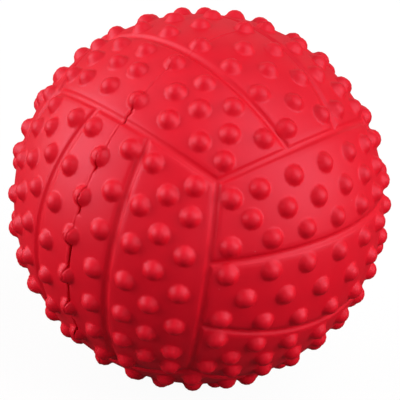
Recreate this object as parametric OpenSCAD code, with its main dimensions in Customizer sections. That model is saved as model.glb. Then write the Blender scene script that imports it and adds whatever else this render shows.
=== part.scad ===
// Squeaky dog ball: a hollow rubber ball with eighteen nubbed panels, moulded as two half shells
// that are bonded on a flash line, with a reed squeaker pressed through the wall of the left half.
// Origin at the ball's centre, +X through the right half's pole, +Z up. Millimetres.

/* [Ball] */
// Diameter over the nub tips
ball_d = 70; // [60:1:90]
// Wall thickness under the panels
wall = 4.5; // [4:0.1:6]

/* [Nubs] */
// Height of a nub above its panel
nub_h = 1.4; // [1.1:0.05:1.8]
// Diameter of a nub where it leaves its panel
nub_d = 4.1; // [3.6:0.05:4.4]
// Angles along a panel of the nubs in a row of seven
long_row = [0, 13.1, 25.5, 38.9]; // [0:0.1:42]
// Angles along a panel of the nubs in a row of six
short_row = [6.8, 19.7, 32.5]; // [0:0.1:42]
// Angle from the seam to the first nubs of a row of six that runs across it
seam_gap = 9.1; // [6.8:0.1:10]
// Angles along a panel of the nubs in the row of seven beside a face's edge
edge_row = [0, 15.4, 29.5, 39.5]; // [0:0.1:42]
// Angle across a face from its middle to the outer rows of the middle panel
middle_panel_row = 9.8; // [9.3:0.1:10.4]
// Angles across a face from its middle to the three rows of a side panel
side_panel_rows = [20.7, 28.9, 37.5]; // [20:0.1:39]

/* [Grooves] */
// Width of a groove between panels, at the panel surface
groove_w = 2; // [1.4:0.1:2.2]
// Depth of a groove
groove_depth = 0.5; // [0.4:0.05:0.9]

/* [Seam] */
// Thickness of the bond between the halves
seam_t = 0.3; // [0.2:0.05:0.5]
// Height of the flash ridge that the bond leaves outside
flash_h = 0.25; // [0.1:0.05:0.4]

/* [Squeaker] */
// Radius of the squeaker's face
flange_r = 6; // [5.5:0.1:6.5]
// Thickness of the squeaker's face
flange_t = 1.3; // [1:0.1:1.5]
// Outer radius of the barrel
barrel_r = 4.5; // [4.3:0.1:4.8]
// Inner radius of the barrel
barrel_bore_r = 3.3; // [3:0.1:3.5]
// Length of the barrel, with its face
barrel_len = 15; // [14.6:0.1:17]
// Radius of the air vent in the face
vent_r = 1.2; // [0.8:0.1:1.5]
// Radius of the rubber collar that grips the barrel
collar_r = 8.5; // [7.5:0.1:9.5]
// Depth of the collar's inner end below the squeaker's face
collar_depth = 10; // [9:0.1:10.5]

/* [Reed] */
// Thickness of the reed
reed_t = 0.2; // [0.15:0.01:0.25]
// Width of the reed
reed_w = 3; // [2.6:0.1:3.4]
// Angle at which the tongue stands off its seat
reed_lift = 2.5; // [1.5:0.1:3]

/* [Hidden] */

rubber_red = [0.86, 0.1, 0.15];
seam_red = [0.7, 0.06, 0.1];
plastic_white = [0.93, 0.92, 0.88];
reed_brass = [0.8, 0.65, 0.3];

panel_r = ball_d / 2 - nub_h;
inner_r = panel_r - wall;
left = -1;
right = 1;

// A nub is a ball sunk in its panel, so that it keeps its diameter at the panel surface.
nub_rise = nub_h + nub_d * nub_d / (8 * panel_r);
nub_r = (nub_d * nub_d / 4 + nub_rise * nub_rise) / (2 * nub_rise);
nub_centre_r = panel_r + nub_h - nub_r;

// The six faces of a cube, drawn on the ball, have three panels each.
x_faces = 0;
y_faces = 1;
z_faces = 2;
// Each groove runs a little past the middle of the ones that it meets.
strip_angle = 30;
groove_overlap = 0.6;
edge_half_angle = atan(1 / sqrt(2)) + groove_overlap;
divider_half_angle = atan(cos(strip_angle / 2)) + groove_overlap;
edge_turns = [45, 135, 225, 315];
divider_turns = [strip_angle / 2, -strip_angle / 2, 180 - strip_angle / 2, 180 + strip_angle / 2];
groove_r = (groove_w * groove_w / 4 + groove_depth * groove_depth) / (2 * groove_depth);
groove_centre_r = panel_r - groove_depth + groove_r;

// The squeaker's face lies just under the rim of its recess.
face_inset = 0.15;
face_x = sqrt(panel_r * panel_r - flange_r * flange_r) - face_inset;
bare_angle = 15;

bead_r = barrel_r + 0.7;
bead_len = 1.6;
bead_lead = 0.5;
clamp_start = 2.3;
clamp_len = 4.7;
clamp_end = clamp_start + clamp_len;
trough_r = 2.2;
trough_len = 6.8;
channel_r = 1.1;
channel_tip = 0.8;
reed_setback = 0.6;
tongue_len = 6.3;

past = 1;
round_fine = 128;
round_small = 32;

// Both signs of each angle, with zero once
function both(angles) = [for (a = angles) for (s = a == 0 ? [1] : [-1, 1]) s * a];

// A row of six, which keeps clear of the seam where it runs across it
function row_of_six(k) = both([k == z_faces ? seam_gap : short_row[0], short_row[1], short_row[2]]);

// Each row of nubs on a face: its angle across the face and the angles along it
function nub_rows(k) = concat(
    [[0, row_of_six(k)]],
    [for (s = [-1, 1]) [s * middle_panel_row, both(long_row)]],
    [for (s = [-1, 1]) [s * side_panel_rows[0], both(long_row)]],
    [for (s = [-1, 1]) [s * side_panel_rows[1], row_of_six(k)]],
    [for (s = [-1, 1]) [s * side_panel_rows[2], both(edge_row)]]
);

// The panels run along the next axis after the face's own one: Y on X, Z on Y and X on Z.
function on_face(k, side, along, across) =
    k == x_faces ? [side, along, across] :
    k == y_faces ? [across, side, along] :
    [along, across, side];

nub_dirs = [
    for (k = [x_faces:z_faces])
        for (side = [left, right])
            for (row = nub_rows(k))
                for (v = row[1])
                    let (d = on_face(k, side, tan(v), tan(row[0])))
                        d / norm(d)
];

function near_squeaker(d) = -d[0] > cos(bare_angle);
function on_seam(d) = abs(d[0]) < 0.001;

module half_space(side) {
    reach = ball_d;
    turn = side == left ? 180 : 0;
    rotate([0, 0, turn])
        translate([seam_t / 2, -reach, -reach])
            cube([reach, 2 * reach, 2 * reach]);
}

// A sphere with its poles on X, so that the seam plane cuts it along a parallel
module ball(r, smoothness) {
    rotate([0, 90, 0])
        sphere(r, $fn = smoothness);
}

module half_ball(r, side, smoothness) {
    intersection() {
        ball(r, smoothness);
        half_space(side);
    }
}

// A whole nub has its pole outwards, so that it meets its panel along a parallel.
module nub(d) {
    rotate([0, acos(d[2]), atan2(d[1], d[0])])
        translate([0, 0, nub_centre_r])
            sphere(nub_r, $fn = round_small);
}

module seam_nub(d, side) {
    intersection() {
        translate(nub_centre_r * d)
            ball(nub_r, round_small);
        half_space(side);
    }
}

module nubs(side) {
    for (d = nub_dirs)
        if (on_seam(d))
            seam_nub(d, side);
        else if (d[0] * side > 0 && !near_squeaker(d))
            nub(d);
}

module groove(half_angle) {
    rotate([0, 0, -half_angle])
        rotate_extrude(angle = 2 * half_angle, $fn = round_fine)
            translate([groove_centre_r, 0])
                circle(groove_r, $fn = round_small);
}

module grooves() {
    for (k = [x_faces:z_faces])
        rotate(120 * k, [1, 1, 1]) {
            for (t = edge_turns)
                rotate([0, t, 0])
                    groove(edge_half_angle);
            for (t = divider_turns)
                rotate([0, t, 0])
                    groove(divider_half_angle);
        }
}

module half_shell(side) {
    difference() {
        union() {
            difference() {
                half_ball(panel_r, side, round_fine);
                grooves();
            }
            nubs(side);
        }
        ball(inner_r, round_fine);
    }
}

// Puts a shape on the squeaker's axis, with its face at zero and +Z inwards
module at_squeaker() {
    translate([-face_x, 0, 0])
        rotate([0, 90, 0])
            children();
}

// A rod that is cut lengthwise, on the seat's side of the flat or on the other side
module half_rod(r, len, flat_at, seat_side) {
    intersection() {
        cylinder(r = r, h = len, $fn = round_fine);
        translate([seat_side ? flat_at : flat_at - 2 * r, -r - past, 0])
            cube([2 * r, 2 * (r + past), len]);
    }
}

module right_half_shell() {
    color(rubber_red)
        half_shell(right);
}

module left_half_shell() {
    color(rubber_red)
        difference() {
            half_shell(left);
            at_squeaker() {
                translate([0, 0, -flange_r])
                    cylinder(r = flange_r, h = flange_r + flange_t, $fn = round_fine);
                cylinder(r = barrel_r, h = 2 * wall, $fn = round_fine);
            }
        }
}

// The bond fills the joint and stands out as a thin ridge that follows the panels, grooves and nubs.
module seam_outline() {
    crossing_angles = concat(edge_turns, [for (t = divider_turns) 90 + t]);
    difference() {
        circle(panel_r + flash_h, $fn = round_fine);
        for (a = crossing_angles)
            rotate(a)
                translate([groove_centre_r, 0])
                    circle(groove_r - flash_h, $fn = round_small);
    }
    for (d = nub_dirs)
        if (on_seam(d))
            translate(nub_centre_r * [d[1], d[2]])
                circle(nub_r + flash_h, $fn = round_small);
}

module seam_bond() {
    color(seam_red)
        rotate([90, 0, 90])
            linear_extrude(seam_t, center = true)
                difference() {
                    seam_outline();
                    circle(inner_r, $fn = round_fine);
                }
}

module squeaker_collar() {
    color(seam_red)
        intersection() {
            at_squeaker()
                difference() {
                    cylinder(r = collar_r, h = collar_depth, $fn = round_fine);
                    translate([0, 0, -past])
                        cylinder(r = barrel_r, h = collar_depth + 2 * past, $fn = round_fine);
                }
            ball(inner_r, round_fine);
        }
}

module squeaker_barrel() {
    bead_end = collar_depth + bead_len;
    color(plastic_white)
        at_squeaker()
            rotate_extrude($fn = round_fine)
                polygon([
                    [vent_r, 0], [flange_r, 0], [flange_r, flange_t], [barrel_r, flange_t],
                    [barrel_r, collar_depth], [bead_r, collar_depth], [bead_r, bead_end - bead_lead],
                    [barrel_r, bead_end], [barrel_r, barrel_len], [barrel_bore_r, barrel_len],
                    [barrel_bore_r, flange_t], [vent_r, flange_t]
                ]);
}

module reed_seat() {
    channel_len = clamp_len + trough_len - channel_tip + past;
    color(plastic_white)
        at_squeaker()
            difference() {
                union() {
                    translate([0, 0, clamp_start])
                        half_rod(barrel_bore_r, clamp_len, 0, true);
                    translate([0, 0, clamp_start])
                        half_rod(trough_r, clamp_len + trough_len, 0, true);
                }
                translate([0, 0, clamp_start - past])
                    cylinder(r = channel_r, h = channel_len, $fn = round_fine);
            }
}

module reed() {
    root = clamp_start + reed_setback;
    rise = tongue_len * sin(reed_lift);
    reach = clamp_end + tongue_len * cos(reed_lift);
    color(reed_brass)
        translate([-face_x, 0, 0])
            rotate([90, 0, 0])
                linear_extrude(reed_w, center = true)
                    polygon([
                        [root, 0], [clamp_end, 0], [reach, rise],
                        [reach - reed_t * sin(reed_lift), rise + reed_t * cos(reed_lift)],
                        [clamp_end - reed_t * tan(reed_lift / 2), reed_t], [root, reed_t]
                    ]);
}

module reed_wedge() {
    color(plastic_white)
        at_squeaker()
            translate([0, 0, clamp_start])
                half_rod(barrel_bore_r, clamp_len, -reed_t, false);
}

left_half_shell();
right_half_shell();
seam_bond();
squeaker_collar();
squeaker_barrel();
reed_seat();
reed();
reed_wedge();
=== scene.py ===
import math
import random

import bpy
import numpy as np
from mathutils import Matrix, Vector


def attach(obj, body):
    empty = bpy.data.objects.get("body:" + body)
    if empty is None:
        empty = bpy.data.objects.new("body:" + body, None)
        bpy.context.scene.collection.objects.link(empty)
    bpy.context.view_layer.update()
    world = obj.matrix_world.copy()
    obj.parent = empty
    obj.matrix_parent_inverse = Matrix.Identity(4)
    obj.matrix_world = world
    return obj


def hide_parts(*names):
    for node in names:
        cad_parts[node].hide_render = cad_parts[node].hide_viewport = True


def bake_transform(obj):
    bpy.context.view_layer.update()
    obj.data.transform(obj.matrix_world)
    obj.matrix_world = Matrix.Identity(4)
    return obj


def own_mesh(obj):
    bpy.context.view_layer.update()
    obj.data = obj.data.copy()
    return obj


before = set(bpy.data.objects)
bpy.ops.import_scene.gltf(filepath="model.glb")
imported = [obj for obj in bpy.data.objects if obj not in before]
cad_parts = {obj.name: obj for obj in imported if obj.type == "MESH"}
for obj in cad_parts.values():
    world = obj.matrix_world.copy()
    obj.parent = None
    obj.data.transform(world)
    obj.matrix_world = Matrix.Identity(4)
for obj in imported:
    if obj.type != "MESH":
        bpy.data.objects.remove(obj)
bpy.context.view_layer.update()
scene = bpy.context.scene
scene.view_settings.view_transform = "Standard"
mm = 0.001
mergeDistance = 0.001 * mm
left, right = -1, 1
print("frame loaded:", ", ".join(sorted(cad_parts)))


# selecting and editing

def deselectAll():
    if bpy.context.mode != "OBJECT":
        bpy.ops.object.mode_set(mode="OBJECT")
    bpy.ops.object.select_all(action="DESELECT")


def makeActive(obj):
    deselectAll()
    obj.select_set(True)
    bpy.context.view_layer.objects.active = obj


def editWhole(obj):
    makeActive(obj)
    bpy.ops.object.mode_set(mode="EDIT")
    bpy.ops.mesh.select_mode(type="VERT")
    bpy.ops.mesh.select_all(action="SELECT")


def leaveEdit():
    bpy.ops.object.mode_set(mode="OBJECT")


def newPiece(name):  # names the primitive that was just added and puts its place in its mesh
    obj = bpy.context.object
    obj.name = name
    obj.data.name = name
    bpy.ops.object.transform_apply(location=True, rotation=True, scale=True)
    return obj


def applyModifier(obj, kind, **settings):
    makeActive(obj)
    bpy.ops.object.modifier_add(type=kind)
    modifier = obj.modifiers[-1]
    for key, value in settings.items():
        setattr(modifier, key, value)
    bpy.ops.object.modifier_apply(modifier=modifier.name)


def joinInto(obj, others):
    makeActive(obj)
    for other in others:
        other.select_set(True)
    bpy.ops.object.join()


def getPoints(obj):
    flat = np.empty(len(obj.data.vertices) * 3)
    obj.data.vertices.foreach_get("co", flat)
    return flat.reshape(-1, 3)


def setPoints(obj, points):
    obj.data.vertices.foreach_set("co", np.asarray(points, float).ravel())
    obj.data.update()


def keepBeyond(obj, x, side):  # cuts along the seam plane, keeps one side and closes it
    editWhole(obj)
    bpy.ops.mesh.bisect(plane_co=(x, 0, 0), plane_no=(side, 0, 0), use_fill=True, clear_inner=True)
    leaveEdit()


def faceOut(obj):
    editWhole(obj)
    bpy.ops.mesh.normals_make_consistent(inside=False)
    leaveEdit()


def smooth(obj, degrees):
    makeActive(obj)
    bpy.ops.object.shade_smooth_by_angle(angle=math.radians(degrees))


# the ball's skin: a cube's six faces drawn on a ball, three panels on each, with grooves between

ballShape = {
    "panelRadius": 33.6 * mm,
    "innerRadius": 29.1 * mm,
    "seamHalf": 0.15 * mm,  # each half stops this far from the seam plane
    "dividerAngle": 15,  # degrees from a face's middle to its two dividing grooves
    "grooveDepth": 0.48 * mm,
    "grooveFloor": 0.15 * mm,  # half the width of a groove's floor
    "grooveLip": 1.02 * mm,  # half its width where the lip meets the panel
    "grooveSteps": 5,  # grid lines from the floor's edge to the lip
    "panelSteps": 18,  # grid steps over a panel
    "innerSides": 112,
    "innerRings": 40,
    "sharpAngle": 42,  # edges that turn by more than this stay sharp
}

seamEdge = {  # the halves don't quite meet: each edge falls away beside the flash
    "width": 0.75 * mm,
    "least": 0.01 * mm,
    "most": 0.22 * mm,
    "panelShare": 0.1,  # how much of that a panel's edge gets, against a nub's
    "gaps": [  # where the right half has come away: degrees round the seam, half length in degrees, depth
        (131.5, 2, 0.3 * mm), (134.5, 1.5, 0.5 * mm), (150, 2.5, 0.4 * mm), (164.5, 2, 0.4 * mm),
        (179.5, 5.5, 2 * mm), (194, 4, 1.8 * mm), (209, 3.5, 1.5 * mm),
    ],
    "gapFloor": 0.65,  # how much of the width is a gap's floor, before its side rises
    "gapSlope": 0.8,  # how deep the floor still is where its side rises
    "waves": [(2, 0.4), (5, 0.6), (11, 0.7), (23, 0.7), (47, 0.5)],  # count round the ball, strength
    "seed": 3,
    "tolerance": 0.01 * mm,
    "skinShare": 1.2,  # the skin lies within this many groove depths of the panels
}


def unevenness(turns, waves, seed):  # slow and quick waves round the seam, from 0 to 1
    chance = random.Random(seed)
    total = np.zeros_like(turns)
    for count, strength in waves:
        total += strength * np.sin(count * turns + chance.uniform(0, math.tau))
    return np.clip(0.5 + total / sum(strength for _, strength in waves), 0, 1)


def gridAngles():  # lines across a face, close together in the grooves
    radius = ballShape["panelRadius"]
    lip = ballShape["grooveLip"] / radius
    inGroove = np.linspace(ballShape["grooveFloor"] / radius, lip, ballShape["grooveSteps"])
    divider = math.radians(ballShape["dividerAngle"])
    edge = math.radians(45)
    half = np.concatenate([
        np.linspace(0, divider - lip, ballShape["panelSteps"] // 2 + 1),
        divider - inGroove[-2::-1], [divider], divider + inGroove,
        np.linspace(divider + lip, edge - lip, ballShape["panelSteps"] + 1)[1:],
        edge - inGroove[-2::-1], [edge],
    ])
    return np.concatenate([-half[:0:-1], half])


def grooveDepthAt(directions):
    size = np.abs(directions)
    face = np.argmax(size, axis=1)
    row = np.arange(len(size))
    out, along, across = size[row, face], size[row, (face + 1) % 3], size[row, (face + 2) % 3]
    divider = math.radians(ballShape["dividerAngle"])
    toGroove = np.minimum.reduce([
        (out - along) / math.sqrt(2),
        (out - across) / math.sqrt(2),
        np.abs(out * math.sin(divider) - across * math.cos(divider)),
    ])
    away = np.arcsin(np.clip(toGroove, 0, 1)) * ballShape["panelRadius"]
    slope = (away - ballShape["grooveFloor"]) / (ballShape["grooveLip"] - ballShape["grooveFloor"])
    return ballShape["grooveDepth"] * (0.5 + 0.5 * np.cos(math.pi * np.clip(slope, 0, 1)))


def skinRadiusAt(directions):
    return ballShape["panelRadius"] - grooveDepthAt(directions)


def panelledBall(name):
    angles = gridAngles()
    deselectAll()
    bpy.ops.mesh.primitive_cube_add(size=2)
    obj = newPiece(name)
    editWhole(obj)
    bpy.ops.mesh.subdivide(number_cuts=len(angles) - 2)
    leaveEdit()
    line = np.rint((getPoints(obj) + 1) / 2 * (len(angles) - 1)).astype(int)
    directions = np.tan(angles[line])
    directions /= np.linalg.norm(directions, axis=1, keepdims=True)
    setPoints(obj, directions * skinRadiusAt(directions)[:, None])
    return obj


def scoreSeamEdge(obj, side):  # lines of points where the worn edge and the gaps' floors begin
    for share in (1, seamEdge["gapFloor"]):
        editWhole(obj)
        start = side * (ballShape["seamHalf"] + share * seamEdge["width"])
        bpy.ops.mesh.bisect(plane_co=(start, 0, 0), plane_no=(1, 0, 0))
        leaveEdit()


def hollowHalf(name, side):  # a solid half, with the inner ball taken out of it
    obj = panelledBall(name)
    scoreSeamEdge(obj, side)
    keepBeyond(obj, side * ballShape["seamHalf"], side)
    faceOut(obj)
    deselectAll()
    bpy.ops.mesh.primitive_uv_sphere_add(
        segments=ballShape["innerSides"], ring_count=ballShape["innerRings"],
        radius=ballShape["innerRadius"], rotation=(0, math.pi / 2, 0))
    hollow = newPiece("hollow")
    applyModifier(obj, "BOOLEAN", operation="DIFFERENCE", object=hollow, solver="EXACT")
    bpy.data.objects.remove(hollow)
    return obj


# nubs: one dome is modelled and copied to each place

nubShape = {
    "sides": 12,
    "height": 1.4 * mm,
    "domeRadius": 1.9 * mm,
    "ringAngles": [68, 45, 23],  # from the top of the dome, for the rings from the foot up
    "flareRadius": 2.02 * mm,  # the ring below the dome
    "flareHeight": 0.025 * mm,
    "skirtRadius": 2.3 * mm,  # the flare runs out here, just under the panel
    "skirtSink": 0.012 * mm,
    "sizeSpread": 0.025,  # no two nubs are quite alike
    "seed": 11,
    "seamTolerance": 0.001,  # sideways part of a direction that is on the seam
}
nubRows = {  # degrees from a face's middle, both ways: along the rows, then across to them
    "sevens": [0, 13.1, 25.5, 38.9],
    "sixes": [6.8, 19.7, 32.5],
    "sixesOverSeam": [9.1, 19.7, 32.5],
    "besideEdge": [0, 15.4, 29.5, 39.5],
    "middlePanel": 9.8,
    "sidePanel": [20.7, 28.9, 37.5],
    "bareRoundSqueaker": 15,  # degrees from the squeaker that have no nubs
}


def nubProfile():  # radius and height of each ring from the foot up, then the top
    size = nubShape["domeRadius"]
    skirt = (nubShape["skirtRadius"], -nubShape["skirtSink"])
    rings = [skirt, (nubShape["flareRadius"], nubShape["flareHeight"])]
    for angle in nubShape["ringAngles"]:
        turn = math.radians(angle)
        rings.append((size * math.sin(turn), nubShape["height"] - size * (1 - math.cos(turn))))
    return rings + [(0, nubShape["height"])]


def modelNub():
    rings = nubProfile()
    deselectAll()
    bpy.ops.mesh.primitive_circle_add(
        vertices=nubShape["sides"], radius=rings[0][0], fill_type="NGON", location=(0, 0, rings[0][1]))
    obj = newPiece("nub")
    editWhole(obj)
    for (radius, height), (nextRadius, nextHeight) in zip(rings, rings[1:]):
        bpy.ops.mesh.extrude_region_move(TRANSFORM_OT_translate={"value": (0, 0, nextHeight - height)})
        share = nextRadius / radius
        bpy.ops.transform.resize(value=(share, share, 1))
    bpy.ops.mesh.merge(type="CENTER")
    leaveEdit()
    faceOut(obj)
    return obj


def nubDirections():
    def bothWays(angles):
        return [s * a for a in angles for s in ((1,) if a == 0 else (-1, 1))]

    found = []
    for face in range(3):
        sixes = nubRows["sixesOverSeam"] if face == 2 else nubRows["sixes"]
        inner, middle, outer = nubRows["sidePanel"]
        rows = [(0, sixes)]
        for s in (-1, 1):
            rows += [(s * nubRows["middlePanel"], nubRows["sevens"]), (s * inner, nubRows["sevens"]),
                     (s * middle, sixes), (s * outer, nubRows["besideEdge"])]
        for side in (left, right):
            for across, angles in rows:
                for along in bothWays(angles):
                    d = [0, 0, 0]
                    d[face] = side
                    d[(face + 1) % 3] = math.tan(math.radians(along))
                    d[(face + 2) % 3] = math.tan(math.radians(across))
                    found.append(Vector(d).normalized())
    bare = math.cos(math.radians(nubRows["bareRoundSqueaker"]))
    return [d for d in found if -d.x < bare]


def placeNub(nub, out, first, size):  # a copy that stands on the skin, with its foot on it all round
    copy = nub.copy()
    copy.data = nub.data.copy()
    scene.collection.objects.link(copy)
    second = out.cross(first)
    turn = Matrix((first, second, out)).transposed()
    points = getPoints(nub) * size
    height = points[:, 2].copy()
    points[:, 2] = ballShape["panelRadius"]
    directions = points @ np.array(turn).T
    directions /= np.linalg.norm(directions, axis=1, keepdims=True)
    onSkin = skinRadiusAt(directions) - nubShape["skirtSink"]
    reach = np.where(height < 0, onSkin, ballShape["panelRadius"] + height)
    setPoints(copy, directions * reach[:, None])
    return copy


def isOnSeam(d):
    return abs(d.x) < nubShape["seamTolerance"]


def addNubs(obj, side):
    nub = modelNub()
    chance = random.Random(nubShape["seed"] + side)
    whole, cut = [], []
    for d in nubDirections():
        if isOnSeam(d):
            along = Vector((1, 0, 0)).cross(d)
            cut.append(placeNub(nub, d, along, 1))
        elif d.x * side > 0:
            along = d.orthogonal().normalized()
            along.rotate(Matrix.Rotation(chance.uniform(0, math.tau), 3, d))
            spread = nubShape["sizeSpread"]
            whole.append(placeNub(nub, d, along, 1 - chance.uniform(0, spread)))
    joinInto(cut[0], cut[1:])
    scoreSeamEdge(cut[0], side)
    keepBeyond(cut[0], side * ballShape["seamHalf"], side)
    joinInto(obj, whole + cut[:1])
    bpy.data.objects.remove(nub)
    print(obj.name, "has", len(whole), "nubs and", len(cut), "half nubs")


def seamHeight(turns):  # how far the skin or a nub stands out at the seam
    directions = np.stack([np.zeros_like(turns), np.cos(turns), np.sin(turns)], axis=1)
    radius = skinRadiusAt(directions)
    rings = nubProfile()[::-1]
    reach = [r for r, h in rings]
    rise = [h for r, h in rings]
    onNub = np.zeros_like(turns)
    for d in nubDirections():
        if isOnSeam(d):
            apart = np.arccos(np.clip(directions @ np.array(d), -1, 1)) * ballShape["panelRadius"]
            height = np.interp(apart, reach, rise, right=-1)  # far below the skin, past the nub's foot
            onNub = np.maximum(onNub, np.clip(height / nubShape["height"], 0, 1))
            radius = np.maximum(radius, ballShape["panelRadius"] + height)
    return radius, onNub


def gapDepth(turns):
    degrees = np.degrees(turns) % 360
    depth = np.zeros_like(turns)
    for middle, halfLength, most in seamEdge["gaps"]:
        depth = np.maximum(depth, most * (1 - ((degrees - middle) / halfLength) ** 2))
    return depth


def wearSeamEdge(obj, side):  # lowers the outer edge beside the seam, more in some places than others
    points = getPoints(obj)
    radius = np.hypot(points[:, 1], points[:, 2])
    fromSeam = np.abs(points[:, 0]) - ballShape["seamHalf"]
    onSeam = np.abs(fromSeam) < seamEdge["tolerance"]
    onFloor = np.abs(fromSeam - seamEdge["gapFloor"] * seamEdge["width"]) < seamEdge["tolerance"]
    outside = radius > ballShape["panelRadius"] - seamEdge["skinShare"] * ballShape["grooveDepth"]
    turns = np.arctan2(points[:, 2], points[:, 1])
    onNub = seamHeight(turns)[1]
    share = seamEdge["panelShare"] + (1 - seamEdge["panelShare"]) * onNub
    fall = share * unevenness(turns, seamEdge["waves"], seamEdge["seed"] + side) ** 2
    wear = seamEdge["least"] + (seamEdge["most"] - seamEdge["least"]) * fall
    gap = gapDepth(turns) if side == right else np.zeros_like(turns)
    atSeam = np.maximum(wear, gap)
    atFloor = np.maximum(wear * (1 - seamEdge["gapFloor"]), gap * seamEdge["gapSlope"])
    drop = outside * (onSeam * atSeam + onFloor * atFloor)
    points[:, 1:] *= (1 - drop / np.maximum(radius, seamEdge["tolerance"]))[:, None]
    setPoints(obj, points)


# the squeaker's hole in the left half

holeShape = {
    "faceX": -32.91 * mm,
    "recessRadius": 6 * mm,
    "recessDepth": 1.3 * mm,
    "boreRadius": 4.5 * mm,
    "sides": 96,
    "rimRound": 0.35 * mm,
    "rimSteps": 3,
    "rimReach": 0.2 * mm,  # how far in from the face the rim's points lie
    "rimTolerance": 0.03 * mm,
    "cutOutside": 4 * mm,  # how far the cutter stands past the face, and past the recess
    "cutInside": 9 * mm,
}


def cutSqueakerHole(obj):
    depth = holeShape["cutOutside"] + holeShape["recessDepth"]
    middle = holeShape["faceX"] + holeShape["recessDepth"] - depth / 2
    deselectAll()
    bpy.ops.mesh.primitive_cylinder_add(
        vertices=holeShape["sides"], radius=holeShape["recessRadius"], depth=depth,
        rotation=(0, math.pi / 2, 0), location=(middle, 0, 0))
    cutter = newPiece("holeCutter")
    editWhole(cutter)
    bpy.ops.mesh.select_all(action="DESELECT")
    leaveEdit()
    for face in cutter.data.polygons:
        face.select = round(face.normal.x) == 1
    bpy.ops.object.mode_set(mode="EDIT")
    bpy.ops.mesh.select_mode(type="FACE")
    bpy.ops.mesh.inset(thickness=holeShape["recessRadius"] - holeShape["boreRadius"])
    bpy.ops.mesh.extrude_region_move(TRANSFORM_OT_translate={"value": (holeShape["cutInside"], 0, 0)})
    leaveEdit()
    applyModifier(obj, "BOOLEAN", operation="DIFFERENCE", object=cutter, solver="EXACT")
    bpy.data.objects.remove(cutter)
    roundRecessRim(obj)


def roundRecessRim(obj):
    editWhole(obj)
    bpy.ops.mesh.select_all(action="DESELECT")
    leaveEdit()
    points = getPoints(obj)
    radial = np.hypot(points[:, 1], points[:, 2])
    outer = points[:, 0] < holeShape["faceX"] + holeShape["rimReach"]
    onRim = outer & (np.abs(radial - holeShape["recessRadius"]) < holeShape["rimTolerance"])
    for edge in obj.data.edges:
        edge.select = all(onRim[v] for v in edge.vertices)
    bpy.ops.object.mode_set(mode="EDIT")
    bpy.ops.mesh.select_mode(type="EDGE")
    bpy.ops.mesh.bevel(
        offset=holeShape["rimRound"], segments=holeShape["rimSteps"], affect="EDGES", clamp_overlap=True)
    leaveEdit()


# the two halves

def makeHalf(name, side, body):
    obj = hollowHalf(name, side)
    if side == left:
        cutSqueakerHole(obj)
    addNubs(obj, side)
    wearSeamEdge(obj, side)
    smooth(obj, ballShape["sharpAngle"])
    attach(obj, body)
    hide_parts("left_half_shell" if side == left else "right_half_shell")
    print(name, "done,", len(obj.data.polygons), "faces")
    return obj


leftHalf = makeHalf("leftHalf", left, "left_half")
rightHalf = makeHalf("rightHalf", right, "right_half")


# the flash line: a thin, uneven ridge over panels, grooves and nubs

flashShape = {
    "steps": 1440,
    "lowest": 0.03 * mm,
    "highest": 0.1 * mm,
    "overNubs": 0.1 * mm,
    "root": 0.4 * mm,  # how far below the skin its sides begin
    "narrowest": 1.6,  # against the joint's own width
    "widest": 2.8,
    "footSink": 0.03 * mm,  # its foot runs into the halves, this far below the skin
    "topShare": 0.4,  # how wide its top is, against its foot
    "lean": 0.06 * mm,  # most that the ridge leans to either side
    # waves are their count round the ball and their strength
    "heightWaves": [(3, 0.35), (7, 0.5), (17, 0.7), (41, 0.6), (97, 0.5)],
    "widthWaves": [(9, 0.4), (31, 0.6), (67, 0.6), (131, 0.5)],
    "leanWaves": [(4, 0.5), (13, 0.7), (37, 0.5), (83, 0.3)],
    "seed": 5,
    "sharpAngle": 50,
}


def flashSection(turns):  # corners of the flash's section at each turn: x and radius
    shape, half = flashShape, ballShape["seamHalf"]
    skin, onNub = seamHeight(turns)
    ridge = shape["lowest"] + (shape["highest"] - shape["lowest"]) * unevenness(
        turns, shape["heightWaves"], shape["seed"])
    ridge = ridge * (1 - onNub) + np.minimum(ridge, shape["overNubs"]) * onNub
    wide = half * (shape["narrowest"] + (shape["widest"] - shape["narrowest"]) * unevenness(
        turns, shape["widthWaves"], shape["seed"] + 1))
    lean = shape["lean"] * (2 * unevenness(turns, shape["leanWaves"], shape["seed"] + 2) - 1)
    joint = np.full_like(turns, half)
    inner = np.full_like(turns, ballShape["innerRadius"])
    root = skin - shape["root"]
    foot, shoulder = skin - shape["footSink"], skin + ridge
    top = wide * shape["topShare"]
    return [(joint, inner), (joint, root), (wide, foot), (lean + top, shoulder),
            (lean - top, shoulder), (-wide, foot), (-joint, root), (-joint, inner)]


def makeFlash():
    steps = flashShape["steps"]
    turns = np.arange(steps) / steps * math.tau
    section = flashSection(turns)
    corners = len(section)
    deselectAll()
    bpy.ops.mesh.primitive_grid_add(x_subdivisions=steps, y_subdivisions=corners, size=2)
    obj = newPiece("flashLine")
    flat = (getPoints(obj)[:, :2] + 1) / 2
    step = np.rint(flat[:, 0] * steps).astype(int) % steps  # the strip is rolled up both ways
    corner = np.rint(flat[:, 1] * corners).astype(int) % corners
    x = np.stack([x for x, radius in section])[corner, step]
    radius = np.stack([radius for x, radius in section])[corner, step]
    turn = turns[step]
    setPoints(obj, np.stack([x, radius * np.cos(turn), radius * np.sin(turn)], axis=1))
    editWhole(obj)
    bpy.ops.mesh.remove_doubles(threshold=mergeDistance)
    leaveEdit()
    faceOut(obj)
    smooth(obj, flashShape["sharpAngle"])
    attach(obj, "left_half")
    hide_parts("seam_bond")
    print("flashLine done,", len(obj.data.polygons), "faces")
    return obj


flashLine = makeFlash()


# the squeaker's barrel, turned from one profile

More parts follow.
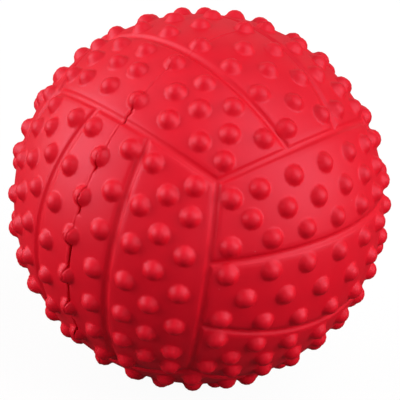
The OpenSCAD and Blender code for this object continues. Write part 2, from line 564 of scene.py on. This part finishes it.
barrelShape = {
    "sides": 96,
    "flangeRadius": 6 * mm,
    "flangeThick": 1.3 * mm,
    "barrelRadius": 4.5 * mm,
    "boreRadius": 3.3 * mm,
    "length": 15 * mm,
    "ventRadius": 1.2 * mm,
    "collarDepth": 10 * mm,
    "beadRadius": 5.2 * mm,
    "beadLength": 1.6 * mm,
    "beadLead": 0.5 * mm,
    "dishRadius": 4.4 * mm,  # the face is dished inside this
    "dishDepth": 0.3 * mm,
    "dishSlope": 0.5 * mm,  # how far the dish's side leans
    "dishLip": 0.06 * mm,
    "edgeRound": 0.2 * mm,
    "edgeDrop": 0.12 * mm,  # half way round the flange's edge
    "sharpAngle": 35,
}


def makeBarrel():
    s = barrelShape
    beadEnd = s["collarDepth"] + s["beadLength"]
    r = s["edgeRound"]
    profile = [  # depth from the face, radius
        (s["dishDepth"] + r, s["ventRadius"]), (s["dishDepth"], s["ventRadius"] + r),
        (s["dishDepth"], s["dishRadius"] - s["dishSlope"]), (s["dishLip"], s["dishRadius"]),
        (0, s["dishRadius"] + r), (0, s["flangeRadius"] - 2 * r),
        (s["edgeDrop"], s["flangeRadius"] - r / 2), (2 * r, s["flangeRadius"]),
        (s["flangeThick"], s["flangeRadius"]), (s["flangeThick"], s["barrelRadius"]),
        (s["collarDepth"], s["barrelRadius"]), (s["collarDepth"], s["beadRadius"]),
        (beadEnd - s["beadLead"], s["beadRadius"]), (beadEnd, s["barrelRadius"]),
        (s["length"] - r, s["barrelRadius"]), (s["length"], s["barrelRadius"] - r),
        (s["length"], s["boreRadius"]), (s["flangeThick"], s["boreRadius"]),
        (s["flangeThick"], s["ventRadius"]),
    ]
    deselectAll()
    bpy.ops.mesh.primitive_circle_add(vertices=len(profile), radius=1 * mm)
    obj = newPiece("squeakerBarrel")
    setPoints(obj, [(holeShape["faceX"] + depth, 0, radius) for depth, radius in profile])
    editWhole(obj)
    bpy.ops.mesh.spin(steps=s["sides"], angle=math.tau, center=(0, 0, 0), axis=(1, 0, 0))
    bpy.ops.mesh.select_all(action="SELECT")
    bpy.ops.mesh.remove_doubles(threshold=mergeDistance)
    leaveEdit()
    faceOut(obj)
    smooth(obj, s["sharpAngle"])
    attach(obj, "left_half")
    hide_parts("squeaker_barrel")
    print("squeakerBarrel done,", len(obj.data.polygons), "faces")
    return obj


squeakerBarrel = makeBarrel()


# the reed: a brass tongue, flat in its clamp and bent off its seat beyond it

reedShape = {
    "root": 2.9 * mm,  # depths from the squeaker's face
    "clampEnd": 7 * mm,
    "tongue": 6.3 * mm,
    "lift": 2.5,  # degrees that the tongue stands off its seat
    "wide": 3 * mm,
    "thick": 0.18 * mm,
    "clear": 0.01 * mm,  # between the reed and its clamp
    "steps": 24,
    "sharpAngle": 30,
}


def makeReed():
    s = reedShape
    deselectAll()
    bpy.ops.mesh.primitive_grid_add(x_subdivisions=s["steps"], y_subdivisions=1, size=2)
    obj = newPiece("reedTongue")
    flat = getPoints(obj)
    end = s["clampEnd"] + s["tongue"]
    along = s["root"] + (flat[:, 0] + 1) / 2 * (end - s["root"])
    free = np.maximum(along - s["clampEnd"], 0)
    lift = math.radians(s["lift"])
    x = holeShape["faceX"] + along - free * (1 - math.cos(lift))
    z = s["clear"] + free * math.sin(lift)
    setPoints(obj, np.stack([x, flat[:, 1] * s["wide"] / 2, z], axis=1))
    applyModifier(obj, "SOLIDIFY", thickness=s["thick"], offset=1)
    faceOut(obj)
    smooth(obj, s["sharpAngle"])
    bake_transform(obj)
    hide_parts("reed")
    print("reedTongue done,", len(obj.data.polygons), "faces")
    return obj


reedTongue = makeReed()


# shader node groups that the materials share

patternShape = {
    "mottleDetail": 4,
    "mottleRoughness": 0.6,
    "grainDetail": 2,
    "grainHeights": (0.3, 1.2),  # heights that take the least and the most roughness
    "patchScale": 60,  # specks lie in patches
    "patchEdge": (0.5, 0.68),  # noise at which a patch begins and is full
}


def newGroup(name, inputs, outputs):
    group = bpy.data.node_groups.new(name, "ShaderNodeTree")
    for label, kind in inputs:
        group.interface.new_socket(label, in_out="INPUT", socket_type="NodeSocket" + kind)
    for label, kind in outputs:
        group.interface.new_socket(label, in_out="OUTPUT", socket_type="NodeSocket" + kind)
    return group, group.nodes.new("NodeGroupInput"), group.nodes.new("NodeGroupOutput")


def addNode(tree, kind, links=(), **settings):  # links pair an input with a socket or a value
    node = tree.nodes.new(kind)
    for key, value in settings.items():
        setattr(node, key, value)
    for label, source in links:
        if isinstance(source, bpy.types.NodeSocket):
            tree.links.new(source, node.inputs[label])
        else:
            node.inputs[label].default_value = source
    return node


def addMath(tree, operation, first, second):
    return addNode(tree, "ShaderNodeMath", [(0, first), (1, second)], operation=operation).outputs[0]


def addNoise(tree, place, scale, *more):
    return addNode(tree, "ShaderNodeTexNoise", [("Vector", place), ("Scale", scale), *more]).outputs["Fac"]


def makeMottleGroup():  # slow drift between two colours
    group, given, out = newGroup(
        "colourMottle",
        [("Vector", "Vector"), ("Scale", "Float"), ("Colour", "Color"),
         ("Second Colour", "Color"), ("Amount", "Float")],
        [("Colour", "Color")])
    noise = addNoise(
        group, given.outputs["Vector"], given.outputs["Scale"],
        ("Detail", patternShape["mottleDetail"]), ("Roughness", patternShape["mottleRoughness"]))
    share = addMath(group, "MULTIPLY", noise, given.outputs["Amount"])
    mix = addNode(group, "ShaderNodeMix", [
        (0, share), (6, given.outputs["Colour"]), (7, given.outputs["Second Colour"])], data_type="RGBA")
    group.links.new(mix.outputs[2], out.inputs["Colour"])
    return group


def makeGrainGroup():  # height of a fine moulded grain on slow waves
    group, given, out = newGroup(
        "mouldGrain",
        [("Vector", "Vector"), ("Grain Scale", "Float"), ("Wave Scale", "Float"), ("Wave Amount", "Float")],
        [("Height", "Float")])
    detail = ("Detail", patternShape["grainDetail"])
    fine = addNoise(group, given.outputs["Vector"], given.outputs["Grain Scale"], detail)
    slow = addNoise(group, given.outputs["Vector"], given.outputs["Wave Scale"], detail)
    slowPart = addMath(group, "MULTIPLY", slow, given.outputs["Wave Amount"])
    group.links.new(addMath(group, "ADD", fine, slowPart), out.inputs["Height"])
    return group


def makeSpeckGroup():  # mask of scattered specks of dust
    group, given, out = newGroup(
        "dustSpecks",
        [("Vector", "Vector"), ("Scale", "Float"), ("Size", "Float")],
        [("Mask", "Float")])
    cells = addNode(group, "ShaderNodeTexVoronoi", [
        ("Vector", given.outputs["Vector"]), ("Scale", given.outputs["Scale"])])
    speck = addMath(group, "LESS_THAN", cells.outputs["Distance"], given.outputs["Size"])
    patch = addNoise(group, given.outputs["Vector"], patternShape["patchScale"])
    begins, full = patternShape["patchEdge"]
    rare = addNode(group, "ShaderNodeMapRange", [
        ("Value", patch), ("From Min", begins), ("From Max", full)])
    group.links.new(addMath(group, "MULTIPLY", speck, rare.outputs[0]), out.inputs["Mask"])
    return group


mottleGroup = makeMottleGroup()
grainGroup = makeGrainGroup()
speckGroup = makeSpeckGroup()
print("node groups done")


# materials

def newMaterial(name):
    material = bpy.data.materials.new(name)
    material.use_nodes = True
    tree = material.node_tree
    tree.nodes.clear()
    shader = tree.nodes.new("ShaderNodeBsdfPrincipled")
    output = tree.nodes.new("ShaderNodeOutputMaterial")
    tree.links.new(shader.outputs[0], output.inputs["Surface"])
    place = tree.nodes.new("ShaderNodeTexCoord").outputs["Object"]
    return material, tree, shader, place


def useGroup(tree, group, links):
    return addNode(tree, "ShaderNodeGroup", links, node_tree=group)


def finishShader(tree, shader, place, look):  # colour, roughness and bump from the shared groups
    mottle = useGroup(tree, mottleGroup, [
        ("Vector", place), ("Scale", look["mottleScale"]), ("Colour", look["colour"]),
        ("Second Colour", look["secondColour"]), ("Amount", look["mottle"])])
    specks = useGroup(tree, speckGroup, [
        ("Vector", place), ("Scale", look["speckScale"]), ("Size", look["speckSize"])])
    dusted = addNode(tree, "ShaderNodeMix", [
        (0, specks.outputs["Mask"]), (6, mottle.outputs["Colour"]), (7, look["dustColour"])],
        data_type="RGBA")
    tree.links.new(dusted.outputs[2], shader.inputs["Base Color"])
    grain = useGroup(tree, grainGroup, [
        ("Vector", place), ("Grain Scale", look["grainScale"]), ("Wave Scale", look["waveScale"]),
        ("Wave Amount", look["waveAmount"])])
    lowest, highest = patternShape["grainHeights"]
    smoothest, roughest = look["roughness"]
    rough = addNode(tree, "ShaderNodeMapRange", [
        ("Value", grain.outputs["Height"]), ("From Min", lowest), ("From Max", highest),
        ("To Min", smoothest), ("To Max", roughest)])
    tree.links.new(rough.outputs[0], shader.inputs["Roughness"])
    bump = addNode(tree, "ShaderNodeBump", [
        ("Height", grain.outputs["Height"]), ("Strength", look["bump"]), ("Distance", look["bumpDepth"])])
    tree.links.new(bump.outputs[0], shader.inputs["Normal"])
    for label, value in look["shader"].items():
        shader.inputs[label].default_value = value


rubberShader = {"IOR": 1.5, "Specular IOR Level": 0.51, "Specular Tint": (1, 0.74, 1, 1)}
redRubberLook = {
    "colour": (0.79, 0.002, 0.015, 1), "secondColour": (0.72, 0.0015, 0.012, 1),
    "mottle": 0.6, "mottleScale": 90,
    "dustColour": (0.85, 0.2, 0.23, 1), "speckScale": 330, "speckSize": 0.035,
    "grainScale": 2600, "waveScale": 260, "waveAmount": 0.6,
    "roughness": (0.45, 0.55), "bump": 0.25, "bumpDepth": 0.02 * mm, "shader": rubberShader,
}
flashLook = {
    "colour": (0.79, 0.002, 0.015, 1), "secondColour": (0.68, 0.0015, 0.011, 1),
    "mottle": 0.8, "mottleScale": 300,
    "dustColour": (0.85, 0.2, 0.23, 1), "speckScale": 700, "speckSize": 0.03,
    "grainScale": 3000, "waveScale": 500, "waveAmount": 0.8,
    "roughness": (0.45, 0.6), "bump": 0.3, "bumpDepth": 0.02 * mm, "shader": rubberShader,
}
whitePlasticLook = {
    "colour": (0.86, 0.84, 0.78, 1), "secondColour": (0.78, 0.75, 0.67, 1),
    "mottle": 0.7, "mottleScale": 150,
    "dustColour": (0.5, 0.45, 0.4, 1), "speckScale": 900, "speckSize": 0.08,
    "grainScale": 3500, "waveScale": 400, "waveAmount": 0.4,
    "roughness": (0.38, 0.52), "bump": 0.2, "bumpDepth": 0.015 * mm, "shader": {"IOR": 1.5},
}
reedBrassLook = {
    "colour": (0.78, 0.6, 0.28, 1), "secondColour": (0.62, 0.44, 0.18, 1),
    "mottle": 0.6, "mottleScale": 400,
    "dustColour": (0.4, 0.3, 0.15, 1), "speckScale": 900, "speckSize": 0.06,
    "grainScale": 4000, "waveScale": 600, "waveAmount": 0.5,
    "roughness": (0.2, 0.34), "bump": 0.15, "bumpDepth": 0.01 * mm, "shader": {"Metallic": 1.0},
}


def makeMaterial(name, look):
    material, tree, shader, place = newMaterial(name)
    finishShader(tree, shader, place, look)
    return material


redRubber = makeMaterial("redRubber", redRubberLook)
flashRubber = makeMaterial("flashRubber", flashLook)
whitePlastic = makeMaterial("whitePlastic", whitePlasticLook)
reedBrass = makeMaterial("reedBrass", reedBrassLook)


def dress(obj, material):
    obj.data.materials.clear()
    obj.data.materials.append(material)


def dressNode(node, material):
    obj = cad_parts[node]
    for slot in obj.material_slots:
        slot.material = material


dress(leftHalf, redRubber)
dress(rightHalf, redRubber)
dress(flashLine, flashRubber)
dress(squeakerBarrel, whitePlastic)
dress(reedTongue, reedBrass)
dressNode("squeaker_collar", flashRubber)
dressNode("reed_seat", whitePlastic)
dressNode("reed_wedge", whitePlastic)
print("materials done")


# a squeeze flattens both halves towards the poles that are pressed

# a squeeze's pole and travel, and the share of each half it would keep; nothing is squeezed here, and both
# halves and the flash get meshes of their own
squeezeShape = {"pole": 35 * mm, "travel": 15 * mm}
squeezeShape["keep"] = 1 - squeezeShape["travel"] / 2 / squeezeShape["pole"]  # each half gives half of it
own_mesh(leftHalf)
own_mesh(flashLine)
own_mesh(rightHalf)


# camera, at the photo's angle

cameraShape = {
    "towards": (0.549, -0.672, 0.497),  # from the ball to the camera
    "up": (-0.4223, 0.2892, 0.8585),
    "distance": 504 * mm,
    "pictureSize": 400,  # pixels, as are the next two
    "ballCentre": (198.8, 198.8),
    "panelRadius": 185,
    "sensor": 36,
}


def cameraAxes():
    back = Vector(cameraShape["towards"]).normalized()
    side = Vector(cameraShape["up"]).cross(back).normalized()
    return side, back.cross(side), back


def makeCamera():
    side, up, back = cameraAxes()
    data = bpy.data.cameras.new("camera")
    obj = bpy.data.objects.new("camera", data)
    scene.collection.objects.link(obj)
    place = Matrix((side, up, back)).transposed().to_4x4()
    place.translation = back * cameraShape["distance"]
    obj.matrix_world = place
    away = cameraShape["distance"] / ballShape["panelRadius"]
    data.sensor_width = cameraShape["sensor"]
    size = cameraShape["pictureSize"]
    across, down = cameraShape["ballCentre"]
    data.lens = cameraShape["panelRadius"] * math.sqrt(away ** 2 - 1) / size * cameraShape["sensor"]
    data.shift_x = (size / 2 - across) / size
    data.shift_y = (down - size / 2) / size
    scene.camera = obj


makeCamera()


# floor and light

white = (1, 1, 1, 1)
stageShape = {
    "floorZ": -34.9 * mm,
    "floorSize": 4,
    "floorColour": (0.06, 0.06, 0.06, 1),
    "cameraWhite": 0.945,
    "floorInGloss": 0.01,  # how much of the white floor and room the rubber's gloss picks up
    "roomInGloss": 0.22,
    "worldLight": 0.01,
    "lampsAway": 0.8,
}


def seenShare(tree, inGloss):  # 1 where the camera or glass sees the white, less in gloss
    ray = tree.nodes.new("ShaderNodeLightPath")
    gloss = addMath(tree, "MULTIPLY", ray.outputs["Is Glossy Ray"], inGloss)
    clear = addMath(tree, "MAXIMUM", ray.outputs["Is Camera Ray"], ray.outputs["Is Transmission Ray"])
    return addMath(tree, "MAXIMUM", clear, gloss)


def makeFloor():
    deselectAll()
    bpy.ops.mesh.primitive_plane_add(
        size=stageShape["floorSize"], location=(0, 0, stageShape["floorZ"]))
    obj = newPiece("floor")
    material = bpy.data.materials.new("floorPaper")
    material.use_nodes = True
    tree = material.node_tree
    tree.nodes.clear()
    output = tree.nodes.new("ShaderNodeOutputMaterial")
    paper = addNode(tree, "ShaderNodeBsdfDiffuse", [("Color", stageShape["floorColour"])])
    glow = addNode(tree, "ShaderNodeEmission", [
        ("Color", white), ("Strength", stageShape["cameraWhite"])])
    paperAndGlow = addNode(tree, "ShaderNodeAddShader", [(0, paper.outputs[0]), (1, glow.outputs[0])])
    seen = seenShare(tree, stageShape["floorInGloss"])
    mix = addNode(tree, "ShaderNodeMixShader", [
        (0, seen), (1, paper.outputs[0]), (2, paperAndGlow.outputs[0])])
    tree.links.new(mix.outputs[0], output.inputs["Surface"])
    dress(obj, material)


def makeWorld():
    world = bpy.data.worlds.new("studio")
    scene.world = world
    world.use_nodes = True
    tree = world.node_tree
    tree.nodes.clear()
    output = tree.nodes.new("ShaderNodeOutputWorld")
    room = addNode(tree, "ShaderNodeBackground", [
        ("Color", white), ("Strength", stageShape["worldLight"])])
    backdrop = addNode(tree, "ShaderNodeBackground", [("Color", white), ("Strength", 1)])
    seen = seenShare(tree, stageShape["roomInGloss"])
    mix = addNode(tree, "ShaderNodeMixShader", [(0, seen), (1, room.outputs[0]), (2, backdrop.outputs[0])])
    tree.links.new(mix.outputs[0], output.inputs["Surface"])


softBoxes = {  # degrees round the ball from the camera and above it, metres wide and high, watts
    "leftBox": {"round": -90, "above": 24, "size": (0.8, 0.7), "watts": 4.7, "gloss": True},
    "leftFront": {"round": -66, "above": 12, "size": (0.6, 0.6), "watts": 1, "gloss": True},
    "leftTop": {"round": -60, "above": 56, "size": (0.7, 0.6), "watts": 0.95, "gloss": True},
    "rightBox": {"round": 70, "above": 8, "size": (0.7, 0.5), "watts": 2.2, "gloss": True},
    "rightFront": {"round": 38, "above": 24, "size": (0.6, 0.5), "watts": 1.3, "gloss": True},
    "rightTop": {"round": 42, "above": 48, "size": (0.6, 0.5), "watts": 1.5, "gloss": True},
    "rightFill": {"round": 64, "above": 4, "size": (0.55, 0.4), "watts": 2.2, "gloss": False},
    "leftFill": {"round": -65, "above": 14, "size": (0.55, 0.45), "watts": 2, "gloss": False},
    "backFill": {"round": 165, "above": 46, "size": (0.7, 0.4), "watts": 2.1, "gloss": False},
    "frontFill": {"round": 5, "above": -18, "size": (0.4, 0.4), "watts": 1.1, "gloss": False},
}


def makeLights():
    side, up, back = cameraAxes()
    for name, box in softBoxes.items():
        data = bpy.data.lights.new(name, "AREA")
        data.shape = "RECTANGLE"
        data.size, data.size_y = box["size"]
        data.energy = box["watts"]
        obj = bpy.data.objects.new(name, data)
        scene.collection.objects.link(obj)
        obj.visible_glossy = box["gloss"]  # the fills are too soft to show in the rubber
        turn, rise = math.radians(box["round"]), math.radians(box["above"])
        level = back * math.cos(turn) + side * math.sin(turn)
        obj.location = (level * math.cos(rise) + up * math.sin(rise)) * stageShape["lampsAway"]
        obj.rotation_euler = obj.location.to_track_quat("Z", "Y").to_euler()


makeFloor()
makeWorld()
makeLights()
print("stage done")
